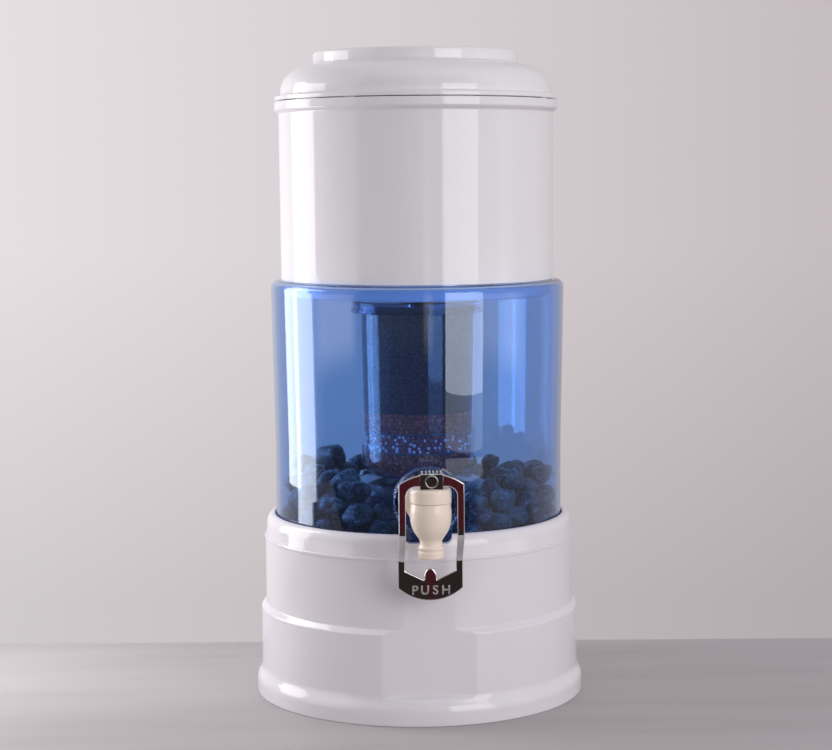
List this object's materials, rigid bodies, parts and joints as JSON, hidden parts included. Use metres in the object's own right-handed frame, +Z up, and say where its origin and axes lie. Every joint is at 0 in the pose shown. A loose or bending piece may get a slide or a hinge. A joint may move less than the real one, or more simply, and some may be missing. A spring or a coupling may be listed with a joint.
{
  "type": "gravity water filter",
  "caption": "Countertop gravity water filter: white stand, clear blue tank with stones and a push-lever tap, white upper tank with a layered cartridge, and a lid.",
  "frame": {"origin": "centre of the stand's foot, on the surface it rests on", "axes": "+Z up along the tanks' axis, -Y towards the tap, +X to the right as seen from the front"},
  "size_m": [0.28, 0.3164, 0.5416],
  "materials": {
    "white_plastic": "glossy, moulded",
    "blue_tank": "clear blue, polished",
    "clear_plastic": "clear, moulded",
    "ivory_plastic": "satin, moulded",
    "stem_plastic": "moulded",
    "chrome_metal": "plated, polished",
    "spring_steel": "drawn wire",
    "grey_rubber": "moulded",
    "river_stone": "tumbled",
    "white_ceramic": "porous, unglazed",
    "red_ceramic": "fired beads",
    "white_mineral": "fired beads",
    "carbon": "granular",
    "felt": "pressed fibre"
  },
  "bodies": {
    "base": {"base_stand": "white_plastic"},
    "lower_tank": {"lower_tank": "blue_tank", "stone_tray": "clear_plastic", "mineral_stones": "river_stone", "tap_body": "ivory_plastic", "tap_bonnet": "ivory_plastic", "bonnet_gasket": "grey_rubber", "tap_outer_washer": "grey_rubber", "tap_inner_washer": "grey_rubber", "tap_nut": "ivory_plastic"},
    "valve_stem": {"valve_stem": "stem_plastic", "valve_seal": "grey_rubber", "valve_spring": "spring_steel", "lever_pin": "spring_steel"},
    "tap_lever": {"tap_lever": "chrome_metal"},
    "upper_tank": {"upper_tank": "white_plastic", "ceramic_dome": "white_ceramic", "dome_base": "stem_plastic", "dome_washer": "grey_rubber", "cartridge_washer": "grey_rubber", "cartridge_cap": "clear_plastic", "cartridge_seal": "grey_rubber", "cartridge_cup": "clear_plastic", "inlet_felt": "felt", "carbon_bed": "carbon", "upper_ceramic_balls": "red_ceramic", "upper_felt": "felt", "mineral_balls": "white_mineral", "lower_felt": "felt", "lower_ceramic_balls": "red_ceramic", "outlet_screen": "felt"},
    "lid": {"lid": "white_plastic"}
  },
  "joints": [
    {"name": "lower_tank_lift", "type": "slide", "parent": "base", "child": "lower_tank", "axis": [0, 0, 1], "range_m": [0, 0.06]},
    {"name": "upper_tank_lift", "type": "slide", "parent": "lower_tank", "child": "upper_tank", "axis": [0, 0, 1], "range_m": [0, 0.22]},
    {"name": "lid_lift", "type": "slide", "parent": "upper_tank", "child": "lid", "axis": [0, 0, 1], "range_m": [0, 0.08]},
    {"name": "valve_lift", "type": "slide", "parent": "lower_tank", "child": "valve_stem", "axis": [0, 0, 1], "range_m": [0, 0.0022], "stiffness_N_per_m": 700, "springref_m": -0.004, "deforming": ["valve_spring"]},
    {"name": "lever_push", "type": "hinge", "parent": "valve_stem", "child": "tap_lever", "pos_m": [0, -0.16, 0.203], "axis": [1, 0, 0], "range_deg": [0, 10]}
  ],
  "couplings": [
    {"joint": "valve_lift", "follows": "lever_push", "m_per_rad": 0.012}
  ]
}
